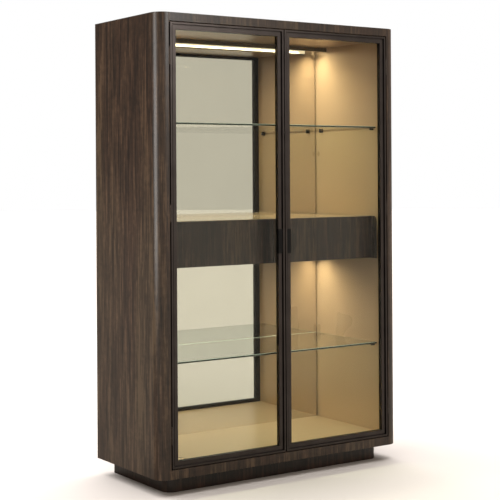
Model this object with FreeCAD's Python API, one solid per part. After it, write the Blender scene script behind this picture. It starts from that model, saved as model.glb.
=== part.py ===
# China cabinet: veneered case, two inset glass doors, mirrored back, glass shelves, drawer unit.
# Millimetres. +Z up, the doors face -Y, origin under the middle of the cabinet on the floor.
import FreeCAD, Part
import math
import os

from FreeCAD import Vector

os.makedirs("parts", exist_ok=True)

# Case
WIDTH = 1250.0
DEPTH = 535.0
HEIGHT = 1950.0
CORNER_R = 51.0
SIDE_T = 55.0
TOP_T = 35.0
PLINTH_H = 68.0
BOTTOM_T = 38.0
BACK_T = 13.0
LINING_T = 10.0
FLOOR_LINING_T = 16.0
CEILING_LINING_T = 18.0
MIRROR_T = 5.0
MIRROR_GAP = 4.0
GROMMET_R = 20.0
GROMMET_HOLE_R = 13.0
GROMMET_X = -470.0
GROMMET_Z = 1005.0

# Plinth
PLINTH_SIDE_IN = 68.0
PLINTH_FRONT_IN = 60.0
PLINTH_BACK_IN = 25.0
PLINTH_T = 18.0
PLINTH_R = 45.0
FOOT_R = 20.0
FOOT_PAD_H = 8.0
FOOT_SOCKET_R = 14.0
FOOT_SOCKET_H = 18.0
STEM_R = 5.0
FOOT_X = 490.0
FOOT_FRONT_IN = 60.0
FOOT_BACK_IN = 70.0

# Doors
DOOR_T = 26.0
DOOR_GAP = 4.0
HINGE_GAP = 5.5
MEETING_GAP = 5.0
FRAME_W = 29.0
FLANGE_W = 8.0
GROOVE_W = 5.0
GROOVE_DEEP = 9.0
BEAD_BACK = 5.5
FRAME_EASE = 0.8
FRAME_LIP_EASE = 1.5
REBATE_W = 7.0
GLASS_FRONT = 17.5
GLASS_T = 5.0
STOP_GAP = 4.0
PULL_T = 3.0
PULL_LIP = 1.5
PULL_H = 104.0
PULL_Z0 = 957.0
PULL_FLANGE_GAP = 1.5
PULL_GLASS_GAP = 1.0
BARREL_R = 2.4
HINGE_H = 70.0
HINGE_END_IN = 100.0
HINGE_MIDDLE_UP = 130.0
WEB_PLAY = 0.3
LEAF_T = 1.0
LEAF_D = 24.0
LEAF_START = 2.7
PIN_R = 1.2
PIN_PLAY = 0.05
KNUCKLE_PLAY = 0.2
MAGNET_X0 = 20.0
MAGNET_X1 = 60.0
MAGNET_DOOR_GAP = 0.4
MAGNET_LIFT = 2.0
MAGNET_TOP_GAP = 4.0

# Shelves
SHELF_T = 8.0
SHELF_FRONT_IN = 65.0
SHELF_SIDE_GAP = 2.0
SHELF_BACK_GAP = 3.0
UPPER_SHELF_Z = 1502.0
LOWER_SHELF_Z = 520.0
SHELF_PIN_R = 4.5
SHELF_PIN_L = 20.0
SHELF_SHANK_R = 2.5
PIN_FRONT_IN = 86.0
PIN_BACK_IN = 464.0

# Drawer unit
UNIT_Z0 = 909.0
UNIT_Z1 = 1102.0
UNIT_FRONT_IN = 92.0
UNIT_BOARD = 12.0
UNIT_BACK_T = 16.0
FRONT_PLAY = 1.0
CHEEK_T = 6.0
CHEEK_FRONT_IN = 65.0
CHEEK_R = 20.0
DIVIDER_T = 16.0
DRAWER_FRONT_T = 18.0
DRAWER_GAP = 1.5
DRAWER_WALL = 12.0
DRAWER_BOTTOM_T = 6.0
DRAWER_BOTTOM_UP = 5.0
DRAWER_BOX_Z0 = 926.0
DRAWER_BOX_Z1 = 1074.0
DRAWER_BOX_BACK = 226.0
RAIL_W = 12.0
RAIL_H = 36.0
RAIL_T = 1.5
RAIL_PLAY = 0.3
RAIL_BOX_GAP = 1.0
RAIL_START = 4.0
RUNNER_START = 6.0
RUNNER_END = 2.0

# Lights
COVE_Y_IN = 424.0
COVE_T = 3.0
COVE_DROP = 19.0
LAMP_D = 8.0
LAMP_H = 20.0
LAMP_LIFT = 4.0
DIFFUSER_T = 3.0
DIFFUSER_IN = 1.0
UNDER_LAMP_IN = 416.0
UNDER_LAMP_W = 22.0
UNDER_LAMP_H = 8.0
UNDER_LAMP_WALL = 2.0

# Derived planes. The hinge barrels stand a little proud of the doors, so the case sits back
# by half of that.
FRONT = -DEPTH / 2 + BARREL_R / 2
BACK = DEPTH / 2 + BARREL_R / 2
OUT_X = WIDTH / 2
OPEN_X = OUT_X - SIDE_T
IN_X = OPEN_X - LINING_T
CASE_Z0 = PLINTH_H
FLOOR_Z = PLINTH_H + BOTTOM_T
CEIL_Z = HEIGHT - TOP_T
BACK_FACE = BACK - BACK_T
MIRROR_FACE = BACK_FACE - MIRROR_T
LINING_FRONT = FRONT + DOOR_T + STOP_GAP
DOOR_Z0 = FLOOR_Z + DOOR_GAP
DOOR_Z1 = CEIL_Z - DOOR_GAP
HINGE_X = OPEN_X - HINGE_GAP / 2
DOOR_OUT_X = OPEN_X - HINGE_GAP
DOOR_IN_X = MEETING_GAP / 2
CEILING_FACE = CEIL_Z - CEILING_LINING_T
COVE_Y = FRONT + COVE_Y_IN


def save(name, shape):
    if shape.isNull() or not shape.isValid():
        raise ValueError(name + " is not a valid shape")
    shape.exportStep("parts/" + name + ".step")


def block(x0, x1, y0, y1, z0, z1):
    return Part.makeBox(x1 - x0, y1 - y0, z1 - z0, Vector(x0, y0, z0))


def rod(radius, length, start, direction):
    return Part.makeCylinder(radius, length, Vector(*start), Vector(*direction))


def mirrored(shape):
    return shape.mirror(Vector(0, 0, 0), Vector(1, 0, 0))


def polygon_face(points):
    closed = [Vector(*p) for p in points + points[:1]]
    return Part.Face(Part.makePolygon(closed))


def joined(shapes):
    result = shapes[0]
    for shape in shapes[1:]:
        result = result.fuse(shape)
    return result.removeSplitter()


def group(shapes):
    return Part.makeCompound(shapes)


# ---------------------------------------------------------------- case

def side_panel():
    # Left-hand side: thick slab whose outer front corner is rounded over its full height.
    arc_mid = CORNER_R * (1 - math.sqrt(0.5))
    a = Vector(-OUT_X, BACK, CASE_Z0)
    b = Vector(-OUT_X, FRONT + CORNER_R, CASE_Z0)
    c = Vector(-OUT_X + CORNER_R, FRONT, CASE_Z0)
    d = Vector(-OPEN_X, FRONT, CASE_Z0)
    e = Vector(-OPEN_X, BACK, CASE_Z0)
    middle = Vector(-OUT_X + arc_mid, FRONT + arc_mid, CASE_Z0)
    edges = [
        Part.makeLine(a, b),
        Part.Arc(b, middle, c).toShape(),
        Part.makeLine(c, d),
        Part.makeLine(d, e),
        Part.makeLine(e, a),
    ]
    return Part.Face(Part.Wire(edges)).extrude(Vector(0, 0, HEIGHT - CASE_Z0))


def pin_positions():
    return [
        (FRONT + inset, z - SHELF_PIN_R)
        for z in (UPPER_SHELF_Z, LOWER_SHELF_Z)
        for inset in (PIN_FRONT_IN, PIN_BACK_IN)
    ]


def shelf_pin(y, z):
    head = rod(SHELF_PIN_R, SHELF_PIN_L, (-IN_X, y, z), (1, 0, 0))
    shank = rod(SHELF_SHANK_R, LINING_T, (-OPEN_X, y, z), (1, 0, 0))
    return head.fuse(shank)


def side_lining():
    board = block(-OPEN_X, -IN_X, LINING_FRONT, BACK_FACE, FLOOR_Z, CEIL_Z)
    for y, z in pin_positions():
        board = board.cut(rod(SHELF_SHANK_R, LINING_T, (-OPEN_X, y, z), (1, 0, 0)))
    return board


def back_panel():
    board = block(-OPEN_X, OPEN_X, BACK_FACE, BACK, CASE_Z0, HEIGHT)
    return board.cut(rod(GROMMET_R, BACK_T, (GROMMET_X, BACK_FACE, GROMMET_Z), (0, 1, 0)))



def cable_grommet():
    ring = rod(GROMMET_R, BACK_T, (GROMMET_X, BACK_FACE, GROMMET_Z), (0, 1, 0))
    return ring.cut(rod(GROMMET_HOLE_R, BACK_T, (GROMMET_X, BACK_FACE, GROMMET_Z), (0, 1, 0)))


def build_case():
    left = side_panel()
    save("side_left", left)
    save("side_right", mirrored(left))
    save("top_panel", block(-OPEN_X, OPEN_X, FRONT, BACK_FACE, CEIL_Z, HEIGHT))
    save("bottom_panel", block(-OPEN_X, OPEN_X, FRONT, BACK_FACE, CASE_Z0, FLOOR_Z))
    save("back_panel", back_panel())
    save("cable_grommet", cable_grommet())
    lining = side_lining()
    save("side_lining_left", lining)
    save("side_lining_right", mirrored(lining))
    floor_top = FLOOR_Z + FLOOR_LINING_T
    save("floor_lining", block(-IN_X, IN_X, LINING_FRONT, BACK_FACE, FLOOR_Z, floor_top))
    save("ceiling_lining", block(-IN_X, IN_X, LINING_FRONT, COVE_Y, CEILING_FACE, CEIL_Z))
    mirror_x = IN_X - MIRROR_GAP
    save("mirror_lower", block(-mirror_x, mirror_x, MIRROR_FACE, BACK_FACE, floor_top, UNIT_Z0))
    save("mirror_upper", block(-mirror_x, mirror_x, MIRROR_FACE, BACK_FACE, UNIT_Z1, CEIL_Z))


# ---------------------------------------------------------------- plinth

def plinth_front():
    # One bent board: a straight run with a rounded return at each end.
    x = OUT_X - PLINTH_SIDE_IN
    y = FRONT + PLINTH_FRONT_IN
    ends = y + PLINTH_R
    outer = rounded_front(x, y, PLINTH_R, ends)
    inner = rounded_front(x - PLINTH_T, y + PLINTH_T, PLINTH_R - PLINTH_T, ends)
    return outer.cut(inner)


def rounded_front(x, y, radius, y_back):
    mid = radius * (1 - math.sqrt(0.5))
    p = [Vector(-x, y_back, 0), Vector(-x, y + radius, 0), Vector(-x + radius, y, 0)]
    q = [Vector(x - radius, y, 0), Vector(x, y + radius, 0), Vector(x, y_back, 0)]
    edges = [
        Part.Arc(p[1], Vector(-x + mid, y + mid, 0), p[2]).toShape(),
        Part.makeLine(p[2], q[0]),
        Part.Arc(q[0], Vector(x - mid, y + mid, 0), q[1]).toShape(),
        Part.makeLine(q[2], p[0]),
    ]
    if y_back > y + radius:
        edges.append(Part.makeLine(p[0], p[1]))
        edges.append(Part.makeLine(q[1], q[2]))
    return Part.Face(Part.Wire(Part.__sortEdges__(edges))).extrude(Vector(0, 0, PLINTH_H))


def levelling_foot(x, y):
    pad = rod(FOOT_R, FOOT_PAD_H, (x, y, 0), (0, 0, 1))
    stem = rod(STEM_R, PLINTH_H, (x, y, 0), (0, 0, 1))
    socket = rod(FOOT_SOCKET_R, FOOT_SOCKET_H, (x, y, PLINTH_H - FOOT_SOCKET_H), (0, 0, 1))
    return joined([pad, stem, socket])


def build_plinth():
    x = OUT_X - PLINTH_SIDE_IN
    y0 = FRONT + PLINTH_FRONT_IN + PLINTH_R
    y1 = BACK - PLINTH_BACK_IN
    left = block(-x, -x + PLINTH_T, y0, y1, 0, PLINTH_H)
    save("plinth_front", plinth_front())
    save("plinth_left", left)
    save("plinth_right", mirrored(left))
    save("plinth_back", block(-x + PLINTH_T, x - PLINTH_T, y1 - PLINTH_T, y1, 0, PLINTH_H))
    foot_ys = (y0 + FOOT_FRONT_IN, y1 - FOOT_BACK_IN)
    feet = [levelling_foot(fx, fy) for fx in (-FOOT_X, FOOT_X) for fy in foot_ys]
    save("levelling_feet", group(feet))


# ---------------------------------------------------------------- shelves

def glass_shelf(z):
    x = IN_X - SHELF_SIDE_GAP
    y0 = FRONT + SHELF_FRONT_IN
    y1 = MIRROR_FACE - SHELF_BACK_GAP
    return block(-x, x, y0, y1, z, z + SHELF_T)


def build_shelves():
    save("glass_shelf_upper", glass_shelf(UPPER_SHELF_Z))
    save("glass_shelf_lower", glass_shelf(LOWER_SHELF_Z))
    pins = [shelf_pin(y, z) for y, z in pin_positions()]
    save("shelf_pins", group(pins + [mirrored(p) for p in pins]))


# ---------------------------------------------------------------- lights

def build_lights():
    x = IN_X - MIRROR_GAP
    save("cove_lip", block(-x, x, COVE_Y, COVE_Y + COVE_T, CEILING_FACE - COVE_DROP, CEIL_Z))
    lamp_y = COVE_Y + COVE_T
    lamp_z = CEILING_FACE - COVE_DROP + LAMP_LIFT
    save("cove_lamp", block(-x, x, lamp_y, lamp_y + LAMP_D, lamp_z, lamp_z + LAMP_H))
    glow_y = lamp_y + LAMP_D
    glow_z0 = lamp_z + DIFFUSER_IN
    glow_z1 = lamp_z + LAMP_H - DIFFUSER_IN
    save("cove_diffuser", block(-x, x, glow_y, glow_y + DIFFUSER_T, glow_z0, glow_z1))
    y = FRONT + UNDER_LAMP_IN
    z = UNIT_Z0 - UNDER_LAMP_H
    diffuser = block(-x, x, y + UNDER_LAMP_WALL, y + UNDER_LAMP_W - UNDER_LAMP_WALL, z, z + DIFFUSER_T)
    save("unit_lamp", block(-x, x, y, y + UNDER_LAMP_W, z, UNIT_Z0).cut(diffuser))
    save("unit_diffuser", diffuser)


# ---------------------------------------------------------------- drawer unit

def unit_cheek():
    # Thin side board; its top front corner is rounded.
    y0 = FRONT + CHEEK_FRONT_IN
    board = block(-IN_X, -IN_X + CHEEK_T, y0, BACK_FACE, UNIT_Z0, UNIT_Z1)
    corner = block(-IN_X, -IN_X + CHEEK_T, y0, y0 + CHEEK_R, UNIT_Z1 - CHEEK_R, UNIT_Z1)
    round_part = rod(CHEEK_R, CHEEK_T, (-IN_X, y0 + CHEEK_R, UNIT_Z1 - CHEEK_R), (1, 0, 0))
    return board.cut(corner.cut(round_part))


def case_rail(x_wall, inward):
    # C-section fixed rail on a wall; inward is +1 when the drawer lies towards +X.
    z0 = (DRAWER_BOX_Z0 + DRAWER_BOX_Z1 - RAIL_H) / 2
    y0 = FRONT + UNIT_FRONT_IN + DRAWER_FRONT_T + RAIL_START
    tip = x_wall + inward * (RAIL_W - RAIL_BOX_GAP)
    lo, hi = sorted((x_wall, tip))
    body = block(lo, hi, y0, DRAWER_BOX_BACK, z0, z0 + RAIL_H)
    slot_lo, slot_hi = sorted((x_wall + inward * RAIL_T, tip))
    return body.cut(block(slot_lo, slot_hi, y0, DRAWER_BOX_BACK, z0 + RAIL_T, z0 + RAIL_H - RAIL_T))


def drawer_runner(x_box, outward):
    # Bar on the drawer wall that runs inside the C-section rail.
    z0 = (DRAWER_BOX_Z0 + DRAWER_BOX_Z1 - RAIL_H) / 2
    y0 = FRONT + UNIT_FRONT_IN + DRAWER_FRONT_T + RUNNER_START
    lo, hi = sorted((x_box, x_box + outward * (RAIL_W - RAIL_T - RAIL_PLAY)))
    inset = RAIL_T + RAIL_PLAY
    return block(lo, hi, y0, DRAWER_BOX_BACK - RUNNER_END, z0 + inset, z0 + RAIL_H - inset)


def build_unit():
    x = IN_X - CHEEK_T
    y0 = FRONT + UNIT_FRONT_IN + DRAWER_FRONT_T + FRONT_PLAY
    inner0 = UNIT_Z0 + UNIT_BOARD
    inner1 = UNIT_Z1 - UNIT_BOARD
    back = BACK_FACE - UNIT_BACK_T
    half = DIVIDER_T / 2
    cheek = unit_cheek()
    save("unit_cheek_left", cheek)
    save("unit_cheek_right", mirrored(cheek))
    save("unit_top", block(-x, x, y0, BACK_FACE, inner1, UNIT_Z1))
    save("unit_bottom", block(-x, x, y0, BACK_FACE, UNIT_Z0, inner0))
    save("unit_back", block(-x, x, back, BACK_FACE, inner0, inner1))
    save("unit_divider", block(-half, half, y0, back, inner0, inner1))
    rails = [case_rail(-x, 1), case_rail(-half, -1)]
    save("drawer_rails", group(rails + [mirrored(r) for r in rails]))


def drawer_pieces():
    # Left-hand drawer; the right one is its mirror image.
    x0 = -(IN_X - CHEEK_T)
    x1 = -DIVIDER_T / 2
    y0 = FRONT + UNIT_FRONT_IN
    y_box = y0 + DRAWER_FRONT_T
    z0 = UNIT_Z0 + DRAWER_GAP
    z1 = UNIT_Z1 - DRAWER_GAP
    bx0 = x0 + RAIL_W
    bx1 = x1 - RAIL_W
    in0 = bx0 + DRAWER_WALL
    in1 = bx1 - DRAWER_WALL
    inner_back = DRAWER_BOX_BACK - DRAWER_WALL
    walls = [
        block(bx0, in0, y_box, DRAWER_BOX_BACK, DRAWER_BOX_Z0, DRAWER_BOX_Z1),
        block(in1, bx1, y_box, DRAWER_BOX_BACK, DRAWER_BOX_Z0, DRAWER_BOX_Z1),
        block(in0, in1, inner_back, DRAWER_BOX_BACK, DRAWER_BOX_Z0, DRAWER_BOX_Z1),
    ]
    floor_z = DRAWER_BOX_Z0 + DRAWER_BOTTOM_UP
    floor = block(in0, in1, y_box, inner_back, floor_z, floor_z + DRAWER_BOTTOM_T)
    return {
        "front": block(x0 + DRAWER_GAP, -DRAWER_GAP, y0, y_box, z0, z1),
        "walls": group(walls),
        "bottom": floor,
        "runners": group([drawer_runner(bx0, -1), drawer_runner(bx1, 1)]),
    }


def build_drawers():
    for name, shape in drawer_pieces().items():
        save("drawer_left_" + name, shape)
        save("drawer_right_" + name, mirrored(shape))


# ---------------------------------------------------------------- doors

def frame_section():
    # Section of a frame member: (distance in from the door's edge, distance behind its face).
    bead = FLANGE_W + GROOVE_W
    return [
        (0.0, FRAME_EASE),
        (FRAME_EASE, 0.0),
        (FLANGE_W - FRAME_EASE, 0.0),
        (FLANGE_W, FRAME_EASE),
        (FLANGE_W, GROOVE_DEEP),
        (bead, GROOVE_DEEP),
        (bead, BEAD_BACK + FRAME_EASE),
        (bead + FRAME_EASE, BEAD_BACK),
        (FRAME_W - FRAME_LIP_EASE, BEAD_BACK),
        (FRAME_W, BEAD_BACK + FRAME_LIP_EASE),
        (FRAME_W, GLASS_FRONT),
        (FRAME_W - REBATE_W, GLASS_FRONT),
        (FRAME_W - REBATE_W, DOOR_T),
        (0.0, DOOR_T),
    ]


def stile(x_edge, inward):
    # Upright frame member with mitred ends.
    points = [(x_edge + inward * u, FRONT + v, DOOR_Z0) for u, v in frame_section()]
    bar = polygon_face(points).extrude(Vector(0, 0, DOOR_Z1 - DOOR_Z0))
    x_in = x_edge + inward * FRAME_W
    outline = [
        (x_edge, FRONT, DOOR_Z0),
        (x_in, FRONT, DOOR_Z0 + FRAME_W),
        (x_in, FRONT, DOOR_Z1 - FRAME_W),
        (x_edge, FRONT, DOOR_Z1),
    ]
    return bar.common(polygon_face(outline).extrude(Vector(0, DOOR_T, 0)))


def rail(z_edge, inward):
    # Cross member of the left-hand door, with mitred ends.
    points = [(-DOOR_OUT_X, FRONT + v, z_edge + inward * u) for u, v in frame_section()]
    bar = polygon_face(points).extrude(Vector(DOOR_OUT_X - DOOR_IN_X, 0, 0))
    z_in = z_edge + inward * FRAME_W
    outline = [
        (-DOOR_OUT_X, FRONT, z_edge),
        (-DOOR_OUT_X + FRAME_W, FRONT, z_in),
        (-DOOR_IN_X - FRAME_W, FRONT, z_in),
        (-DOOR_IN_X, FRONT, z_edge),
    ]
    return bar.common(polygon_face(outline).extrude(Vector(0, DOOR_T, 0)))


def pane(inset, y0, y1):
    return block(
        -DOOR_OUT_X + inset, -DOOR_IN_X - inset, FRONT + y0, FRONT + y1, DOOR_Z0 + inset, DOOR_Z1 - inset
    )


def glass_gasket():
    # Loop behind the glass that holds it in the frame's rebate.
    outer = pane(FRAME_W - REBATE_W, GLASS_FRONT + GLASS_T, DOOR_T)
    return outer.cut(pane(FRAME_W, GLASS_FRONT + GLASS_T, DOOR_T))


def door_pull():
    # Slim plate on the meeting stile's bead, with a lip returned behind the fingers.
    x_out = -DOOR_IN_X - FRAME_W
    x_in = -DOOR_IN_X - FLANGE_W - PULL_FLANGE_GAP
    y0 = FRONT + BEAD_BACK - PULL_T
    y1 = FRONT + GLASS_FRONT - PULL_GLASS_GAP
    z1 = PULL_Z0 + PULL_H
    face = block(x_out - PULL_LIP, x_in, y0, y0 + PULL_T, PULL_Z0, z1)
    lip = block(x_out - PULL_LIP, x_out, y0, y1, PULL_Z0, z1)
    return joined([face, lip])


def hinge_levels():
    lowest = DOOR_Z0 + HINGE_END_IN
    middle = (DOOR_Z0 + DOOR_Z1 - HINGE_H) / 2 + HINGE_MIDDLE_UP
    highest = DOOR_Z1 - HINGE_END_IN - HINGE_H
    return [lowest, middle, highest]


def knuckle(z0, z1, wall_side):
    # Barrel section round the hinge line, with the web that ties it to its leaf.
    barrel = rod(BARREL_R, z1 - z0, (-HINGE_X, FRONT, z0), (0, 0, 1))
    if wall_side:
        web = block(-OPEN_X, -HINGE_X - PIN_R - WEB_PLAY, FRONT, FRONT + LEAF_START, z0, z1)
    else:
        web = block(-HINGE_X + PIN_R + WEB_PLAY, -DOOR_OUT_X, FRONT, FRONT + LEAF_START, z0, z1)
    return barrel.fuse(web)


def hinge_halves(z):
    # Case leaf with the two outer knuckles, door leaf with the middle one, and the pin.
    third = HINGE_H / 3
    lower = knuckle(z, z + third - KNUCKLE_PLAY, True)
    upper = knuckle(z + 2 * third + KNUCKLE_PLAY, z + HINGE_H, True)
    case_leaf = block(-OPEN_X, -OPEN_X + LEAF_T, FRONT + LEAF_START, FRONT + LEAF_D, z, z + HINGE_H)
    door_leaf = block(-DOOR_OUT_X - LEAF_T, -DOOR_OUT_X, FRONT + LEAF_START, FRONT + LEAF_D, z, z + HINGE_H)
    middle = knuckle(z + third, z + 2 * third, False)
    pin = rod(PIN_R, HINGE_H, (-HINGE_X, FRONT, z), (0, 0, 1))
    bore = rod(PIN_R + PIN_PLAY, HINGE_H, (-HINGE_X, FRONT, z), (0, 0, 1))
    on_case = joined([case_leaf, lower, upper]).cut(pin)
    on_door = joined([door_leaf, middle]).cut(bore)
    return on_case, on_door, pin


def build_doors():
    members = {
        "stile_hinge": stile(-DOOR_OUT_X, 1),
        "stile_meeting": stile(-DOOR_IN_X, -1),
        "rail_top": rail(DOOR_Z1, -1),
        "rail_bottom": rail(DOOR_Z0, 1),
        "glass": pane(FRAME_W - REBATE_W, GLASS_FRONT, GLASS_FRONT + GLASS_T),
        "gasket": glass_gasket(),
        "pull": door_pull(),
    }
    halves = [hinge_halves(z) for z in hinge_levels()]
    members["hinge_leaves"] = group([h[1] for h in halves])
    for name, shape in members.items():
        save("door_left_" + name, shape)
        save("door_right_" + name, mirrored(shape))
    fixed = [h[0] for h in halves]
    pins = [h[2] for h in halves]
    save("case_hinge_leaves", group(fixed + [mirrored(s) for s in fixed]))
    save("hinge_pins", group(pins + [mirrored(s) for s in pins]))
    magnet_y = FRONT + DOOR_T + MAGNET_DOOR_GAP
    magnet_z0 = CEILING_FACE + MAGNET_LIFT
    magnet_z1 = CEIL_Z - MAGNET_TOP_GAP
    magnet = block(-MAGNET_X1, -MAGNET_X0, magnet_y, LINING_FRONT, magnet_z0, magnet_z1)
    save("door_magnets", group([magnet, mirrored(magnet)]))


build_case()
build_plinth()
build_shelves()
build_lights()
build_unit()
build_drawers()
build_doors()
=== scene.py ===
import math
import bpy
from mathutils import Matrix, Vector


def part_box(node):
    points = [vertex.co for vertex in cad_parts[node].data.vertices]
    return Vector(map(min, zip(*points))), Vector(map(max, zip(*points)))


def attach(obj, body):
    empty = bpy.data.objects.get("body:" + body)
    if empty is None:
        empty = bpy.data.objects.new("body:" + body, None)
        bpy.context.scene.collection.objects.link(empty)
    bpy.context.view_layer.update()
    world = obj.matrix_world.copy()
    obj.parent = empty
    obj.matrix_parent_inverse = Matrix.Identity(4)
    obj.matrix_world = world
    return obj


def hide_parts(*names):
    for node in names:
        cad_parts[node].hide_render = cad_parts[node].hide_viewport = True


bl_info = {
    "name": "China cabinet",
    "version": (1, 0, 0),
    "blender": (4, 5, 0),
    "location": "View3D > Sidebar > Cabinet",
    "description": "Glass-door china cabinet in smoked oak veneer, built on its packed frame",
    "category": "Add Mesh",
}

import bmesh
import bpy
from bpy.props import FloatProperty, FloatVectorProperty, IntProperty, PointerProperty
from bpy.types import Operator, Panel, PropertyGroup
from mathutils import Matrix, Vector

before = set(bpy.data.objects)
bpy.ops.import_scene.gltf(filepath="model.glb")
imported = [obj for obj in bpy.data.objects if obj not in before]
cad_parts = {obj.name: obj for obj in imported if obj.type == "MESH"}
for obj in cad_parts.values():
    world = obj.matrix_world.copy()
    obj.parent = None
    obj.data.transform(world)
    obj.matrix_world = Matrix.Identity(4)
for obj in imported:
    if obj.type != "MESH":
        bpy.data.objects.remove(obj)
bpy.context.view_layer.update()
MM = 0.001
SIDES = (("left", -1), ("right", 1))
NEAR = 1e-5


# ---------------------------------------------------------------- small helpers


def linear(hex_colour):
    """An sRGB hex colour as a linear (r, g, b)."""
    values = [int(hex_colour[i : i + 2], 16) / 255 for i in (1, 3, 5)]
    return tuple(v / 12.92 if v <= 0.04045 else ((v + 0.055) / 1.055) ** 2.4 for v in values)


def rgba(colour):
    """A colour property or a hex colour as the four values a socket takes."""
    return (*(linear(colour) if isinstance(colour, str) else colour), 1.0)


def length(name, description, default):
    """A size in metres."""
    return FloatProperty(
        name=name, description=description, default=default, min=0.0, unit="LENGTH", precision=4
    )


def power(name, description, default):
    """A lamp's power in watts."""
    return FloatProperty(name=name, description=description, default=default, min=0.0, unit="POWER")


def colour(name, description, default):
    return FloatVectorProperty(
        name=name,
        description=description,
        default=linear(default),
        min=0.0,
        max=1.0,
        subtype="COLOR",
    )


# ---------------------------------------------------------------- settings


class CaseSettings(PropertyGroup):
    corner_radius: length("Corner radius", "Round of the two outer front corners", 51 * MM)
    plinth_radius: length("Plinth corner", "Round of the plinth's front corners", 45 * MM)
    plinth_board: length("Plinth board", "Thickness of the plinth's boards", 18 * MM)
    cheek_radius: length("Cheek corner", "Round at the top of the drawer unit's cheeks", 20 * MM)
    ease: length("Eased edge", "Round on the edges of veneered boards", 0.6 * MM)
    corner_steps: IntProperty(
        name="Corner steps", description="Faces round each large corner", default=24, min=8, max=64
    )
    veneer_dark: colour("Veneer, late wood", "Dark streaks of the smoked veneer", "#1a120d")
    veneer_mid: colour("Veneer, ground", "Ground colour of the smoked veneer", "#2f231b")
    veneer_light: colour("Veneer, early wood", "Pale streaks of the smoked veneer", "#4a3b2f")
    # Painted shade: the drawer fronts are the case's veneer, drawn darker where they stand behind the door
    # glass.
    drawer_stain: colour("Drawer stain", "Ground colour of the darker drawer fronts", "#30221c")
    plinth_stain: colour("Plinth stain", "Ground colour of the dark-stained plinth", "#1d130e")


class InteriorSettings(PropertyGroup):
    lining: colour("Lining", "Champagne lacquer of the inside walls", "#c8a984")
    mirror_tint: colour("Mirror", "Reflected tint of the back mirror", "#e4e0da")
    shelf_edge: colour("Shelf edge", "Green seen in the shelves' polished edges", "#15261c")
    lamp_colour: colour("Lamp", "Warm white that the strips throw", "#fff4d8")
    opal_colour: colour("Lit opal", "Glow of the strips' diffusers", "#ffedc6")
    cove_power: power("Ceiling strip", "Light of the ceiling strip", 8.6)
    unit_power: power("Unit strip", "Light of the strip below the drawers", 7.6)


class DoorSettings(PropertyGroup):
    flange: length("Flange", "Outer flat of the door frame", 8 * MM)
    groove: length("Groove", "Shadow groove of the door frame", 5 * MM)
    groove_depth: length("Groove depth", "Depth of the shadow groove", 9 * MM)
    bead_back: length("Bead setback", "Inner bead behind the outer flat", 5.5 * MM)
    member: length("Frame width", "Face width of a frame member", 29 * MM)
    rebate: length("Rebate", "Width of the glass rebate", 7 * MM)
    glass_front: length("Glass setback", "Glass behind the door's face", 17.5 * MM)
    ease: length("Eased edge", "Round on the extrusion's edges", 0.5 * MM)
    frame_colour: colour("Frame", "Dark bronze of the anodised frame", "#3d3836")
    pull_colour: colour("Pull", "Black of the powder-coated pulls", "#0c0b0b")
    glass_tint: colour("Glass", "Tint of the clear door panes", "#f4f8f3")


class StageSettings(PropertyGroup):
    floor_colour: colour("Floor", "Pale studio floor", "#c4bdb8")
    floor_mirrored: colour("Floor in mirrors", "Floor as the cabinet's mirror shows it", "#aca59c")
    floor_bounce: colour("Floor bounce", "Floor as it lights the cabinet", "#7d766e")
    surround: colour("Surround", "Pale walls round the cabinet", "#f4eade")
    key_power: power("Key light", "Large soft light high in front", 100.0)
    side_power: power("Side light", "Tall soft light on the left", 41.0)
    top_strength: FloatProperty(
        name="Overhead light", description="Broad soft light overhead", default=7.4, min=0.0
    )
    lens: FloatProperty(
        name="Lens", description="Focal length of the camera in millimetres", default=91.37, min=10.0
    )


# ---------------------------------------------------------------- shaping


def slab(bm, lo, hi):
    """Adds a board between two corners."""
    lo, hi = Vector(lo), Vector(hi)
    place = Matrix.Translation((lo + hi) / 2) @ Matrix.Diagonal((*(hi - lo), 1.0))
    return bmesh.ops.create_cube(bm, size=1.0, matrix=place)["verts"]


def board(node):
    """A new bmesh holding a board as large as a frame node."""
    bm = bmesh.new()
    slab(bm, *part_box(node))
    return bm


def eased_board(node, width, segments=2):
    """A board as large as a frame node, with its edges rounded over."""
    bm = board(node)
    ease(bm, sharp_edges(bm), width, segments)
    return bm


def edges_at(bm, **planes):
    """The edges that lie in the given planes, such as x=0.5, y=-0.2."""
    return [
        e
        for e in bm.edges
        if all(abs(getattr(v.co, axis) - at) < NEAR for v in e.verts for axis, at in planes.items())
    ]


def sharp_edges(bm, least=math.radians(30)):
    """The edges whose faces meet at more than an angle."""
    return [e for e in bm.edges if len(e.link_faces) == 2 and e.calc_face_angle() > least]


def ease(bm, edges, width, segments=2):
    """Rounds edges over."""
    bmesh.ops.bevel(
        bm,
        geom=edges,
        offset=width,
        segments=segments,
        profile=0.5,
        affect="EDGES",
        material=-1,
        clamp_overlap=True,
    )


def spun(bm, profile, centre, axis, steps):
    """Turns a profile of (distance along the axis, radius) into a solid of revolution."""
    axis = Vector(axis).normalized()
    out = axis.orthogonal().normalized()
    verts = [bm.verts.new(Vector(centre) + axis * along + out * radius) for along, radius in profile]
    edges = [bm.edges.new(pair) for pair in zip(verts, verts[1:])]
    bmesh.ops.spin(
        bm,
        geom=verts + edges,
        cent=centre,
        axis=axis,
        angle=math.tau,
        steps=steps,
        use_merge=True,
    )
    bmesh.ops.remove_doubles(bm, verts=bm.verts, dist=NEAR / 10)


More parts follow.
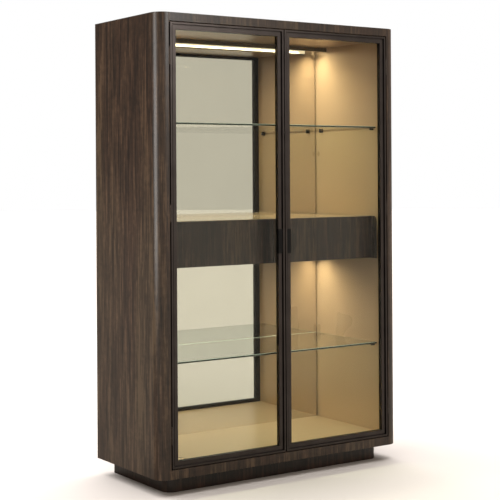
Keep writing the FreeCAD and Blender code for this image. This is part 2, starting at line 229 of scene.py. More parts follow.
def prism(bm, section, along, start, end, mitre=0.0):
    """Extrudes a section of (point, inset) from start to end along an axis. A mitre of 1 cuts both ends at
    45 degrees: each point's line is shorter by its inset at either end."""
    axis = Vector(along)
    verts = [bm.verts.new(point + axis * (start + mitre * inset)) for point, inset in section]
    face = bm.faces.new(verts)
    made = bmesh.ops.extrude_face_region(bm, geom=[face])["geom"]
    far = [g for g in made if isinstance(g, bmesh.types.BMVert)]
    for v in far:
        inset = min(section, key=lambda s: (s[0] + axis * (start + mitre * s[1]) - v.co).length)[1]
        v.co += axis * (end - start - 2 * mitre * inset)
    return verts + far


def paint_by_normal(bm, index, test):
    """Gives a material index to the faces whose normal passes the test."""
    bm.normal_update()
    for face in bm.faces:
        if test(face.normal):
            face.material_index = index


def piece(name, bm, body, materials, nodes=(), smooth=50):
    """Makes an object of the bmesh, rides it on a body and lets it stand for the named nodes."""
    bmesh.ops.recalc_face_normals(bm, faces=bm.faces)
    mesh = bpy.data.meshes.new(name)
    bm.to_mesh(mesh)
    bm.free()
    for material in materials:
        mesh.materials.append(material)
    mesh.shade_smooth()
    mesh.set_sharp_from_angle(angle=math.radians(smooth))
    obj = bpy.data.objects.new(name, mesh)
    bpy.context.scene.collection.objects.link(obj)
    flat = obj.modifiers.new("flat faces stay flat", "WEIGHTED_NORMAL")
    flat.keep_sharp = True
    flat.weight = 100
    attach(obj, body)
    if nodes:
        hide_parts(*nodes)
    return obj


def paint_nodes(material, *names):
    """Gives frame nodes that keep their own shape a material."""
    for name in names:
        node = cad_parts[name]
        if not node.material_slots:
            node.data.materials.append(material)
        for place in node.material_slots:
            place.material = material


# ---------------------------------------------------------------- finishes


def add_node(tree, kind, settings=None, links=None):
    """Adds a node, sets its properties and sockets, and links sockets to (node, output)."""
    node = tree.nodes.new(kind)
    for key, value in (settings or {}).items():
        if isinstance(key, str) and hasattr(node, key):
            setattr(node, key, value)
        else:
            node.inputs[key].default_value = value
    for key, (source, output) in (links or {}).items():
        tree.links.new(source.outputs[output], node.inputs[key])
    return node


def finish(make):
    """Turns a maker of shaders into a maker of materials, which takes a name before the settings. A finish
    that pieces share is made for the first of them and found again for the others. The maker of shaders gets
    the empty node tree and the coordinates that its patterns follow."""

    def made_once(name, *settings, **sockets):
        material = bpy.data.materials.get(name)
        if material is None:
            material = bpy.data.materials.new(name)
            material.use_nodes = True
            tree = material.node_tree
            tree.nodes.clear()
            shader = make(tree, add_node(tree, "ShaderNodeTexCoord"), *settings, **sockets)
            add_node(tree, "ShaderNodeOutputMaterial", links={"Surface": (shader, 0)})
        return material

    return made_once


def stops_round(base, spread):
    """Ramp stops a share darker and a share paler than a colour."""
    dark, pale = (tuple(min(c * share, 1.0) for c in rgba(base)[:3]) for share in (1 - spread, 1 + spread))
    return [(0.3, dark), (0.7, pale)]


def levels(low, high, least, most):
    """Sockets of a range that turns low to high into least to most."""
    return {"From Min": low, "From Max": high, "To Min": least, "To Max": most}


def along_grain(axis, stretch):
    """Mapping scale that draws a pattern so many times longer along an axis."""
    return [1.0 / stretch if letter == axis else 1.0 for letter in "XYZ"]


def set_stops(ramp, stops):
    """Sets a colour ramp's stops from (position, colour)."""
    band = ramp.color_ramp
    while len(band.elements) < len(stops):
        band.elements.new(1.0)
    for element, (position, value) in zip(band.elements, stops):
        element.position = position
        element.color = rgba(value)


def scale_for(size):
    """Noise scale, per metre, whose features are about as wide as size."""
    return 1.0 / size


# The colour sockets of a Mix node, whose names repeat.
MIX_FACTOR, MIX_A, MIX_B, MIX_RESULT = 0, 6, 7, 2
# The veneer's layers: width across the grain, times longer along it, detail, roughness and distortion.
OAK_LAYERS = {
    # Leaves of veneer shift the tone.
    "leaf": (140 * MM, 9.0, 1.0, 0.5, 0.0),
    # The streaks in them are drawn coarser than the real 1 to 2 mm so that they read from across a room.
    "streak": (15 * MM, 18.0, 3.0, 0.62, 0.2),
    "fine": (3.5 * MM, 45.0, 2.0, 0.7, 0.0),
    # A faint cross figure of ripples, as quarter-sliced wood shows.
    "figure": (26 * MM, 0.8, 2.0, 0.5, 0.0),
    # Open pores: dark dashes about 40 mm long, drawn 2 mm wide instead of 0.5 mm so that they show.
    "pores": (2 * MM, 20.0, 1.0, 0.5, 0.0),
    # Now and then a short dark fleck, about 6 mm wide and 40 mm long.
    "flecks": (12 * MM, 7.0, 0.0, 0.5, 0.0),
}
# What each layer adds to the tone, and the range and darkest share of those that only darken.
OAK_TONES = (("leaf", 0.26), ("streak", 0.62), ("fine", 0.3), ("figure", 0.14))
OAK_MARKS = (("pores", 0.30, 0.42, 0.72), ("flecks", 0.24, 0.36, 0.6))


@finish
def smoked_oak(tree, place, grain, dark, mid, light, coat=0.3, shine=0.22):
    """Smoked oak, quarter-sliced veneer under open-pore matt lacquer: close parallel streaks with slow
    changes of tone from leaf to leaf, fine dark pores, and a soft low sheen that breaks up along them."""
    layers = {}
    for key, (width, stretch, detail, roughness, distortion) in OAK_LAYERS.items():
        stretched = add_node(
            tree,
            "ShaderNodeMapping",
            {"Scale": along_grain(grain, stretch)},
            {"Vector": (place, "Object")},
        )
        layers[key] = add_node(
            tree,
            "ShaderNodeTexNoise",
            {
                "Scale": scale_for(width),
                "Detail": detail,
                "Roughness": roughness,
                "Distortion": distortion,
            },
            {"Vector": (stretched, "Vector")},
        )
    tone = None
    for key, share in OAK_TONES:
        links = {0: (layers[key], 0)}
        if tone is not None:
            links[2] = (tone, 0)
        tone = add_node(tree, "ShaderNodeMath", {"operation": "MULTIPLY_ADD", 1: share, 2: 0.0}, links)
    shade = add_node(tree, "ShaderNodeValToRGB", links={"Fac": (tone, 0)})
    set_stops(shade, [(0.56, dark), (0.635, mid), (0.675, mid), (0.75, light)])
    # Warm and olive leaves side by side.
    warmth = add_node(tree, "ShaderNodeValToRGB", links={"Fac": (layers["leaf"], 0)})
    set_stops(warmth, [(0.35, "#fff0e6"), (0.65, "#f3f3e4")])
    masks = [warmth]
    for key, low, high, darkest in OAK_MARKS:
        settings = levels(low, high, darkest, 1.0)
        masks.append(add_node(tree, "ShaderNodeMapRange", settings, {"Value": (layers[key], 0)}))
    ground = (shade, 0)
    for mask in masks:
        darkened = add_node(
            tree,
            "ShaderNodeMix",
            {"data_type": "RGBA", "blend_type": "MULTIPLY", MIX_FACTOR: 1.0},
            {MIX_A: ground, MIX_B: (mask, 0)},
        )
        ground = (darkened, MIX_RESULT)
    rough = add_node(
        tree, "ShaderNodeMapRange", levels(0.3, 0.7, 0.38, 0.28), {"Value": (layers["streak"], 0)}
    )
    relief = add_node(
        tree,
        "ShaderNodeBump",
        {"Strength": 0.25, "Distance": 0.08 * MM},
        {"Height": (layers["fine"], 0)},
    )
    return add_node(
        tree,
        "ShaderNodeBsdfPrincipled",
        {"IOR": 1.5, "Specular IOR Level": shine, "Coat Weight": coat, "Coat Roughness": 0.24},
        {"Base Color": ground, "Roughness": (rough, 0), "Normal": (relief, 0)},
    )


def veneers():
    """Upright and lengthwise leaves of the same veneer."""
    case = bpy.context.scene.cabinet_case
    tones = (case.veneer_dark, case.veneer_mid, case.veneer_light)
    return smoked_oak("smoked_oak_upright", "Z", *tones), smoked_oak("smoked_oak_lengthwise", "X", *tones)


def stain_and_light_toned_oak(name, stain, coat, shine):
    """Upright smoked oak toned round one ground colour, with streaks at a third and at nearly three times
    its tone. On the plinth that tone is real staining; on the drawer fronts it is painted shade, and on the
    cheeks painted light."""
    dark, light = (tuple(c * share for c in stain) for share in (0.35, 2.8))
    return smoked_oak(name, "Z", dark, stain, light, coat, shine)


@finish
def mottled(tree, place, base, spread, size, roughness, rough_spread, bump, **sockets):
    """A sprayed, moulded or plated surface: one colour that drifts by a few percent over patches of a real
    size, with matching changes of gloss and a fine relief, so that light breaks on it as on the made thing.
    The bump is (width, height), and further sockets are given with _ for a space."""
    width, height = bump
    drift, peel = (
        add_node(
            tree,
            "ShaderNodeTexNoise",
            {"Scale": scale_for(wide), "Detail": 2.0},
            {"Vector": (place, "Object")},
        )
        for wide in (size, width)
    )
    shade = add_node(tree, "ShaderNodeValToRGB", links={"Fac": (drift, 0)})
    set_stops(shade, stops_round(base, spread))
    rough = add_node(
        tree,
        "ShaderNodeMapRange",
        levels(0.3, 0.7, roughness - rough_spread, roughness + rough_spread),
        {"Value": (drift, 0)},
    )
    relief = add_node(
        tree, "ShaderNodeBump", {"Strength": 0.4, "Distance": height}, {"Height": (peel, 0)}
    )
    return add_node(
        tree,
        "ShaderNodeBsdfPrincipled",
        {key.replace("_", " "): value for key, value in sockets.items()},
        {"Base Color": (shade, 0), "Roughness": (rough, 0), "Normal": (relief, 0)},
    )


@finish
def brushed(tree, place, base, axis, roughness, spread=0.12):
    """Drawn or brushed metal: hairlines along the member that spread its highlights, drawn 0.8 mm apart and
    sixty times as long so that they show, on a tone that clouds over 60 mm."""
    along = add_node(
        tree, "ShaderNodeMapping", {"Scale": along_grain(axis, 60.0)}, {"Vector": (place, "Object")}
    )
    hair = add_node(
        tree,
        "ShaderNodeTexNoise",
        {"Scale": scale_for(0.8 * MM), "Detail": 3.0, "Roughness": 0.7},
        {"Vector": (along, "Vector")},
    )
    cloud = add_node(
        tree,
        "ShaderNodeTexNoise",
        {"Scale": scale_for(60 * MM), "Detail": 2.0},
        {"Vector": (place, "Object")},
    )
    shade = add_node(tree, "ShaderNodeValToRGB", links={"Fac": (cloud, 0)})
    set_stops(shade, stops_round(base, spread))
    rough = add_node(
        tree,
        "ShaderNodeMapRange",
        levels(0.3, 0.7, roughness - 0.06, roughness + 0.06),
        {"Value": (hair, 0)},
    )
    relief = add_node(
        tree, "ShaderNodeBump", {"Strength": 0.15, "Distance": 0.03 * MM}, {"Height": (hair, 0)}
    )
    return add_node(
        tree,
        "ShaderNodeBsdfPrincipled",
        {"Metallic": 1.0},
        {"Base Color": (shade, 0), "Roughness": (rough, 0), "Normal": (relief, 0)},
    )


@finish
def clear_glass(tree, place, tint, smear, ior):
    """Tempered float glass, polished: clear with a trace of green, a faint uneven film of handling on its
    faces, and no shadow of its own, as thin panes throw almost none."""
    film = add_node(
        tree,
        "ShaderNodeTexNoise",
        {"Scale": scale_for(220 * MM), "Detail": 3.0},
        {"Vector": (place, "Object")},
    )
    tint = rgba(tint)[:3]
    shade = add_node(tree, "ShaderNodeValToRGB", links={"Fac": (film, 0)})
    set_stops(shade, [(0.35, tuple(c * (1 - smear) for c in tint)), (0.65, tint)])
    glass = add_node(
        tree,
        "ShaderNodeBsdfPrincipled",
        {"Transmission Weight": 1.0, "Roughness": 0.0, "IOR": ior},
        {"Base Color": (shade, 0)},
    )
    through = add_node(tree, "ShaderNodeBsdfTransparent", {"Color": (*tint, 1.0)})
    ray = add_node(tree, "ShaderNodeLightPath")
    return add_node(
        tree, "ShaderNodeMixShader", links={0: (ray, "Is Shadow Ray"), 1: (glass, 0), 2: (through, 0)}
    )


@finish
def glowing_opal(tree, place, tint, strength):
    """Opal acrylic diffuser over a light strip: an even warm glow, a touch dimmer between its diodes, which
    are 15 mm apart."""
    # A Wave node of scale 1 has 20 bands in every tau metres.
    diodes = add_node(
        tree,
        "ShaderNodeTexWave",
        {"wave_type": "BANDS", "bands_direction": "X", "Scale": scale_for(15 * MM) * math.tau / 20},
        {"Vector": (place, "Object")},
    )
    glow = add_node(
        tree, "ShaderNodeMapRange", levels(0.0, 1.0, 0.93 * strength, strength), {"Value": (diodes, 1)}
    )
    return add_node(
        tree,
        "ShaderNodeBsdfPrincipled",
        {"Base Color": rgba("#f4efe2"), "Roughness": 0.45, "Emission Color": rgba(tint)},
        {"Emission Strength": (glow, 0)},
    )


@finish
def silvered(tree, place, tint):
    """Silvered float glass: a sharp, slightly warm reflection with the least waviness of the float ribbon."""
    ribbon = add_node(
        tree,
        "ShaderNodeTexNoise",
        {"Scale": scale_for(400 * MM), "Detail": 1.0},
        {"Vector": (place, "Object")},
    )
    tint = rgba(tint)[:3]
    shade = add_node(tree, "ShaderNodeValToRGB", links={"Fac": (ribbon, 0)})
    set_stops(shade, [(0.3, tuple(c * 0.985 for c in tint)), (0.7, tint)])
    relief = add_node(
        tree, "ShaderNodeBump", {"Strength": 0.02, "Distance": 0.2 * MM}, {"Height": (ribbon, 0)}
    )
    return add_node(
        tree,
        "ShaderNodeBsdfPrincipled",
        {"Metallic": 1.0, "Roughness": 0.01},
        {"Base Color": (shade, 0), "Normal": (relief, 0)},
    )


def champagne_lacquer():
    # MDF sprayed with satin pearl lacquer: soft warm metal-flake glow and the faintest orange peel, drawn
    # 16 mm wide instead of 2 mm so that it reads as a slow ripple and not as grit.
    base = bpy.context.scene.cabinet_interior.lining
    peel = (16 * MM, 0.03 * MM)
    return mottled("champagne_lacquer", base, 0.03, 380 * MM, 0.3, 0.03, peel, Metallic=0.15)


def polished_lacquer():
    # The same lacquer on the top of the drawer unit, rubbed to a high gloss that takes a reflection at a low
    # angle.
    base = bpy.context.scene.cabinet_interior.lining
    peel = (16 * MM, 0.02 * MM)
    gloss = {"Coat_Weight": 0.5, "Coat_Roughness": 0.08}
    return mottled("champagne_lacquer_polished", base, 0.03, 300 * MM, 0.16, 0.03, peel, **gloss)


def linen_melamine():
    # Melamine-faced board with a fine linen emboss, warm grey.
    return mottled("linen_melamine", "#8d8375", 0.06, 4 * MM, 0.45, 0.04, (0.9 * MM, 0.05 * MM))


def zinc_steel():
    # Cold-rolled steel, zinc plated: pale grey metal clouded by its crystals.
    peel = (1.0 * MM, 0.02 * MM)
    return mottled("zinc_plated_steel", "#a7a9ab", 0.10, 14 * MM, 0.34, 0.07, peel, Metallic=1.0)


def bronze_extrusion(axis):
    # Aluminium extrusion, brushed and anodised dark bronze: near-black brown that turns grey where light
    # rakes it.
    base = bpy.context.scene.cabinet_doors.frame_colour
    return brushed("bronze_anodised_" + axis.lower(), base, axis, 0.34)


# ---------------------------------------------------------------- case


class CABINET_OT_case_panels(Operator):
    """Sides with rounded front corners, top and bottom, all in smoked oak veneer"""

    bl_idname = "cabinet.case_panels"
    bl_label = "Case panels"

    def execute(self, context):
        case = context.scene.cabinet_case
        leaves = veneers()
        outer = {"side_left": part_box("side_left")[0].x, "side_right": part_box("side_right")[1].x}
        for node in (*outer, "top_panel", "bottom_panel"):
            bm = board(node)
            if node in outer:
                corner = edges_at(bm, x=outer[node], y=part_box(node)[0].y)
                ease(bm, corner, case.corner_radius, case.corner_steps)
            ease(bm, sharp_edges(bm), case.ease)
            # The leaves on level faces run lengthwise.
            paint_by_normal(bm, 1, lambda n: abs(n.z) > 0.7)
            piece("case_" + node, bm, "case", leaves, [node])
        return {"FINISHED"}


class CABINET_OT_plinth(Operator):
    """Recessed plinth of bent and straight boards, and the levelling feet inside it"""

    bl_idname = "cabinet.plinth"
    bl_label = "Plinth"

    def execute(self, context):
        case = context.scene.cabinet_case
        # Oak boards stained darker than the case, with the same upright streaks.
        stained = stain_and_light_toned_oak("dark_stained_oak", case.plinth_stain, 0.2, 0.3)
        self.bent_front(case, stained)
        for name in ("plinth_left", "plinth_right", "plinth_back"):
            piece(name + "_board", eased_board(name, case.ease), "case", [stained], [name])
        self.feet()
        return {"FINISHED"}

    def bent_front(self, case, stained):
        lo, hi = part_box("plinth_front")
        bm = bmesh.new()
        slab(bm, lo, (hi.x, hi.y + case.plinth_radius, hi.z))
        for x in (lo.x, hi.x):
            ease(bm, edges_at(bm, x=x, y=lo.y), case.plinth_radius, case.corner_steps)
        bm.normal_update()
        open_faces = [f for f in bm.faces if abs(f.normal.z) > 0.5 or f.normal.y > 0.5]
        bmesh.ops.delete(bm, geom=open_faces, context="FACES")
        bmesh.ops.bisect_plane(
            bm,
            geom=bm.verts[:] + bm.edges[:] + bm.faces[:],
            plane_co=(0, hi.y, 0),
            plane_no=(0, 1, 0),
            clear_outer=True,
        )
        bmesh.ops.solidify(bm, geom=bm.faces[:], thickness=case.plinth_board)
        ease(bm, sharp_edges(bm), case.ease)
        piece("plinth_bent_front", bm, "case", [stained], ["plinth_front"])

    def feet(self):
        # Glass-filled nylon, moulded: black with a dull even gloss.
        nylon = mottled("black_nylon", "#141414", 0.12, 6 * MM, 0.48, 0.05, (0.8 * MM, 0.03 * MM))
        lo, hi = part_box("levelling_feet")
        # A turned pad, its neck and stem, and the socket that it screws into, as (height, radius) in mm.
        turned = [(0, 0), (0, 19), (1, 20), (5, 20), (8, 12), (9, 5), (50, 5), (50, 13), (51, 14)]
        pad, socket = 20 * MM, 14 * MM
        profile = [(height * MM, radius * MM) for height, radius in turned]
        profile += [(hi.z, socket), (hi.z, 0.0)]
        bm = bmesh.new()
        for x in (lo.x + pad, hi.x - pad):
            for y in (lo.y + pad, hi.y - pad):
                spun(bm, profile, (x, y, lo.z), (0, 0, 1), 24)
        piece("feet", bm, "case", [nylon], ["levelling_feet"])


class CABINET_OT_back_board(Operator):
    """Back board with its cable grommet"""

    bl_idname = "cabinet.back_board"
    bl_label = "Back board"

    def execute(self, context):
        # Hardboard, sprayed dark brown: flat, dull and faintly pebbled.
        grit = (1.6 * MM, 0.08 * MM)
        hardboard = mottled("painted_hardboard", "#332a24", 0.10, 35 * MM, 0.62, 0.05, grit)
        paint_nodes(hardboard, "back_panel")
        # Polypropylene, moulded: black with soft rounded lips.
        pebble = (0.9 * MM, 0.02 * MM)
        plastic = mottled("black_polypropylene", "#121212", 0.10, 8 * MM, 0.42, 0.05, pebble)
        lo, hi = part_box("cable_grommet")
        radius = (hi.x - lo.x) / 2
        rim, lip = 7 * MM, 1.2 * MM
        hole = radius - rim
        deep = hi.y - lo.y
        profile = [
            (lip, radius),
            (0.0, radius - lip),
            (0.0, hole + lip),
            (lip, hole),
            (deep - lip, hole),
            (deep, hole + lip),
            (deep, radius - lip),
            (deep - lip, radius),
            (lip, radius),
        ]
        bm = bmesh.new()
        spun(bm, profile, ((lo.x + hi.x) / 2, lo.y, (lo.z + hi.z) / 2), (0, 1, 0), 40)
        piece("grommet", bm, "case", [plastic], ["cable_grommet"])
        return {"FINISHED"}


# ---------------------------------------------------------------- interior


class CABINET_OT_linings(Operator):
    """Champagne lacquered walls, floor and ceiling, and the two mirrors"""

    bl_idname = "cabinet.linings"
    bl_label = "Linings and mirrors"

    def execute(self, context):
        lacquer = champagne_lacquer()
        paint_nodes(lacquer, "side_lining_left", "side_lining_right", "floor_lining", "ceiling_lining")
        paint_nodes(polished_lacquer(), "unit_top")
        silver = silvered("silvered_glass", context.scene.cabinet_interior.mirror_tint)
        # Grey-brown copper-free backing paint on the mirror's back and edges.
        pebble = (1.5 * MM, 0.03 * MM)
        backing = mottled("mirror_backing_paint", "#3b342c", 0.08, 20 * MM, 0.5, 0.05, pebble)
        for name in ("mirror_lower", "mirror_upper"):
            bm = eased_board(name, 0.5 * MM)
            paint_by_normal(bm, 1, lambda n: n.y > -0.5)
            piece(name + "_pane", bm, "case", [silver, backing], [name])
        return {"FINISHED"}


class CABINET_OT_shelves(Operator):
    """Two float glass shelves with polished edges, on steel pins"""

    bl_idname = "cabinet.shelves"
    bl_label = "Glass shelves"

    def execute(self, context):
        clear = clear_glass("float_glass_clear", "#f1f7f2", 0.02, 1.45)
        # The edge of thick float glass, polished: light comes through its whole length, so it is deep green.
        green = context.scene.cabinet_interior.shelf_edge
        wave = (3 * MM, 0.01 * MM)
        edge = mottled("float_glass_edge", green, 0.25, 60 * MM, 0.08, 0.03, wave, Coat_Weight=0.5)
        # The narrow ground arris beside it is pale and dull.
        grit = (0.5 * MM, 0.02 * MM)
        arris = mottled("ground_glass_arris", "#c3d2c2", 0.05, 10 * MM, 0.4, 0.05, grit)
        for level in ("upper", "lower"):
            node = "glass_shelf_" + level
            bm = board(node)
            lo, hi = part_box(node)
            uprights = [e for e in bm.edges if abs(e.verts[0].co.z - e.verts[1].co.z) > NEAR]
            ease(bm, uprights, 2 * MM, 3)
            ease(bm, edges_at(bm, z=hi.z), 1.6 * MM, 1)
            ease(bm, edges_at(bm, z=lo.z), 0.8 * MM, 1)
            paint_by_normal(bm, 1, lambda n: abs(n.z) < 0.3)
            paint_by_normal(bm, 2, lambda n: 0.3 <= abs(n.z) <= 0.9)
            piece("shelf_" + level, bm, "case", [clear, edge, arris], [node])
        self.pins()
        return {"FINISHED"}

    def pins(self):
        # Steel shelf pins, turned and sleeved in dark brown nylon: nearly black with a dull gleam.
        dark = mottled("brown_nylon_sleeve", "#17110d", 0.12, 5 * MM, 0.4, 0.06, (0.8 * MM, 0.02 * MM))
        lo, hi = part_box("shelf_pins")
        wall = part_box("side_lining_left")[1].x
        radius, shank = 4.5 * MM, 2.5 * MM
        deep = wall - lo.x
        # The head has a collar, a groove and a plain drum with a rounded end. Its outline is given as
        # (distance from the wall, how far below the full radius) in mm.
        head = [(0, 0.4), (0.4, 0), (2, 0), (2.6, 1), (4, 1), (4.6, 0), (18.8, 0), (19.6, 0.5), (20, 1.6)]
        profile = [(0.0, 0.0), (0.0, shank), (deep, shank)]
        profile += [(deep + along * MM, radius - less * MM) for along, less in head]
        profile += [(deep + head[-1][0] * MM, 0.0)]
        bm = bmesh.new()
        for _, sign in SIDES:
            for y in (lo.y + radius, hi.y - radius):
                for z in (lo.z + radius, hi.z - radius):
                    spun(bm, profile, (-sign * lo.x, y, z), (-sign, 0, 0), 16)
        piece("shelf_pin_set", bm, "case", [dark], ["shelf_pins"])


class CABINET_OT_light_strips(Operator):
    """Ceiling and under-unit light strips: aluminium channels, opal diffusers and the cove's dark lip"""

    bl_idname = "cabinet.light_strips"
    bl_label = "Light strips"

    def execute(self, context):
        inside = context.scene.cabinet_interior
        # MDF lip sprayed dark olive brown, dull.
        lip_paint = mottled("dark_cove_paint", "#6a5c42", 0.08, 40 * MM, 0.5, 0.05, (2 * MM, 0.03 * MM))
        channel = brushed("satin_aluminium", "#b9b8b4", "X", 0.3, 0.05)
        opal = glowing_opal("opal_acrylic_lit", inside.opal_colour, strength=0.92)
        bm = eased_board("cove_lip", 0.6 * MM)
        piece("cove_lip_board", bm, "case", [lip_paint], ["cove_lip"])
        bm = eased_board("cove_lamp", 0.6 * MM)
        piece("cove_channel", bm, "case", [channel], ["cove_lamp"])
        bm = board("cove_diffuser")
        lo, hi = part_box("cove_diffuser")
        ease(bm, edges_at(bm, y=hi.y, z=lo.z) + edges_at(bm, y=hi.y, z=hi.z), 2 * MM, 4)
        piece("cove_opal", bm, "case", [opal], ["cove_diffuser"])
        paint_nodes(channel, "unit_lamp")
        bm = eased_board("unit_diffuser", 0.4 * MM)
        piece("unit_opal", bm, "case", [opal], ["unit_diffuser"])
        return {"FINISHED"}


# ---------------------------------------------------------------- drawer unit


class CABINET_OT_drawer_unit(Operator):
    """Carcass of the drawer unit: rounded cheeks, boards and rails"""

    bl_idname = "cabinet.drawer_unit"
    bl_label = "Drawer unit"

    def execute(self, context):
        case = context.scene.cabinet_case
        _, lengthwise = veneers()
        # Painted light: the cheeks are the case's veneer, drawn in its pale streak colour so that their faces
        # show lit from the left.
        cheek = stain_and_light_toned_oak("pale_smoked_oak", case.veneer_light, 0.3, 0.25)
        for side, _ in SIDES:
            name = "unit_cheek_" + side
            bm = board(name)
            lo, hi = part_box(name)
            ease(bm, edges_at(bm, y=lo.y, z=hi.z), case.cheek_radius, 12)
            ease(bm, sharp_edges(bm), 0.5 * MM)
            piece("cheek_" + side, bm, "case", [cheek], [name])
        paint_nodes(lengthwise, "unit_bottom")
        paint_nodes(linen_melamine(), "unit_back", "unit_divider")
        paint_nodes(zinc_steel(), "drawer_rails")
        return {"FINISHED"}


class CABINET_OT_drawers(Operator):
    """The two drawers: veneered fronts, linen boxes and steel runners"""

    bl_idname = "cabinet.drawers"
    bl_label = "Drawers"

    def execute(self, context):
        case = context.scene.cabinet_case
        # Painted shade: the case's veneer, drawn darker on the fronts that stand behind the door glass.
        stained = stain_and_light_toned_oak("dark_stained_oak_drawers", case.drawer_stain, 0.1, 0.3)
        linen = linen_melamine()
        for side, _ in SIDES:
            body = "drawer_" + side
            bm = eased_board(body + "_front", case.ease)
            piece(body + "_face", bm, body, [stained], [body + "_front"])
            self.walls(body, linen)
            paint_nodes(linen, body + "_bottom")
            paint_nodes(zinc_steel(), body + "_runners")
        return {"FINISHED"}

    def walls(self, body, linen):
        lo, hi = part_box(body + "_walls")
        wall = 12 * MM
        bm = bmesh.new()
        slab(bm, lo, (lo.x + wall, hi.y, hi.z))
        slab(bm, (hi.x - wall, lo.y, lo.z), hi)
        slab(bm, (lo.x + wall, hi.y - wall, lo.z), (hi.x - wall, hi.y, hi.z))
        ease(bm, edges_at(bm, z=hi.z), 1.5 * MM, 3)
        piece(body + "_box", bm, body, [linen], [body + "_walls"])


# ---------------------------------------------------------------- doors


def frame_section(doors, thick):
    """Outline of a frame member as (distance in from the door's edge, distance behind its face)."""
    bead = doors.flange + doors.groove
    inner = doors.member - doors.rebate
    return [
        (0.0, 0.0),
        (doors.flange, 0.0),
        (doors.flange, doors.groove_depth),
        (bead, doors.groove_depth),
        (bead, doors.bead_back),
        (doors.member, doors.bead_back),
        (doors.member, doors.glass_front),
        (inner, doors.glass_front),
        (inner, thick),
        (0.0, thick),
    ]


class CABINET_OT_door_frames(Operator):
    """Mitred door frames of grooved bronze extrusion"""

    bl_idname = "cabinet.door_frames"
    bl_label = "Door frames"

    def execute(self, context):
        doors = context.scene.cabinet_doors
        for side, sign in SIDES:
            body = "door_" + side
            stiles = [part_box(body + "_" + part) for part in ("stile_hinge", "stile_meeting")]
            x0 = min(b[0].x for b in stiles)
            x1 = max(b[1].x for b in stiles)
            lo, hi = stiles[0]
            thick = hi.y - lo.y
            section = frame_section(doors, thick)
            members = {
                "stile_hinge": ("Z", x0 if sign < 0 else x1, -sign, (lo.z, hi.z)),
                "stile_meeting": ("Z", x1 if sign < 0 else x0, sign, (lo.z, hi.z)),
                "rail_top": ("X", hi.z, -1, (x0, x1)),
                "rail_bottom": ("X", lo.z, 1, (x0, x1)),
            }
            for part, (axis, edge, inward, ends) in members.items():
                self.member(body, part, axis, edge, inward, ends, lo.y, section, doors.ease)
        return {"FINISHED"}

    def member(self, body, part, axis, edge, inward, ends, front, section, width):
        points = []
        for inset, behind in section:
            across = edge + inward * inset
            place = (0.0, front + behind, across) if axis == "X" else (across, front + behind, 0.0)
            points.append((Vector(place), inset))
        along = Vector((1, 0, 0)) if axis == "X" else Vector((0, 0, 1))
        bm = bmesh.new()
        prism(bm, points, along, ends[0], ends[1], 1.0)
        bmesh.ops.recalc_face_normals(bm, faces=bm.faces)
        long_edges = [
            e
            for e in sharp_edges(bm)
            if abs((e.verts[0].co - e.verts[1].co).normalized().dot(along)) > 0.99
        ]
        ease(bm, long_edges, width)
        name = body + "_" + part
        piece(name + "_bar", bm, body, [bronze_extrusion(axis)], [name])


class CABINET_OT_door_panes(Operator):
    """Clear door glass in its silicone gaskets"""

    bl_idname = "cabinet.door_panes"
    bl_label = "Door panes"

    def execute(self, context):
        # Its anti-glare coating leaves a fifth of the reflection that bare glass has.
        clear = clear_glass("tempered_glass_clear", context.scene.cabinet_doors.glass_tint, 0.015, 1.2)
        # Silicone, extruded: black, dull and slightly chalky.
        silicone = mottled("black_silicone", "#161514", 0.12, 12 * MM, 0.6, 0.05, (0.8 * MM, 0.03 * MM))
        for side, _ in SIDES:
            body = "door_" + side
            bm = eased_board(body + "_glass", 0.5 * MM, 1)
            piece(body + "_pane", bm, body, [clear], [body + "_glass"])
            paint_nodes(silicone, body + "_gasket")
        return {"FINISHED"}


class CABINET_OT_door_pulls(Operator):
    """Slim black pulls on the meeting stiles"""

    bl_idname = "cabinet.door_pulls"
    bl_label = "Door pulls"

    def execute(self, context):
        # Steel plate, folded and powder coated black: fine pebble of 0.7 mm, hardly any gloss.
        black = context.scene.cabinet_doors.pull_colour
        pebble = (0.7 * MM, 0.05 * MM)
        dull = {"Specular_IOR_Level": 0.1}
        powder = mottled("black_powder_coat", black, 0.12, 9 * MM, 0.55, 0.05, pebble, **dull)
        plate, lip = 3 * MM, 1.5 * MM
        for side, sign in SIDES:
            body = "door_" + side
            lo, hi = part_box(body + "_pull")
            if sign < 0:
                edge, inner, far = lo.x, lo.x + lip, hi.x
            else:
                edge, inner, far = hi.x, hi.x - lip, lo.x
            outline = [
                (edge, lo.y),
                (far, lo.y),
                (far, lo.y + plate),
                (inner, lo.y + plate),
                (inner, hi.y),
                (edge, hi.y),
            ]
            bm = bmesh.new()
            prism(bm, [(Vector((x, y, 0.0)), 0.0) for x, y in outline], (0, 0, 1), lo.z, hi.z)
            bmesh.ops.recalc_face_normals(bm, faces=bm.faces)
            ease(bm, sharp_edges(bm), 0.5 * MM, 2)
            piece(body + "_grip", bm, body, [powder], [body + "_pull"])
        return {"FINISHED"}


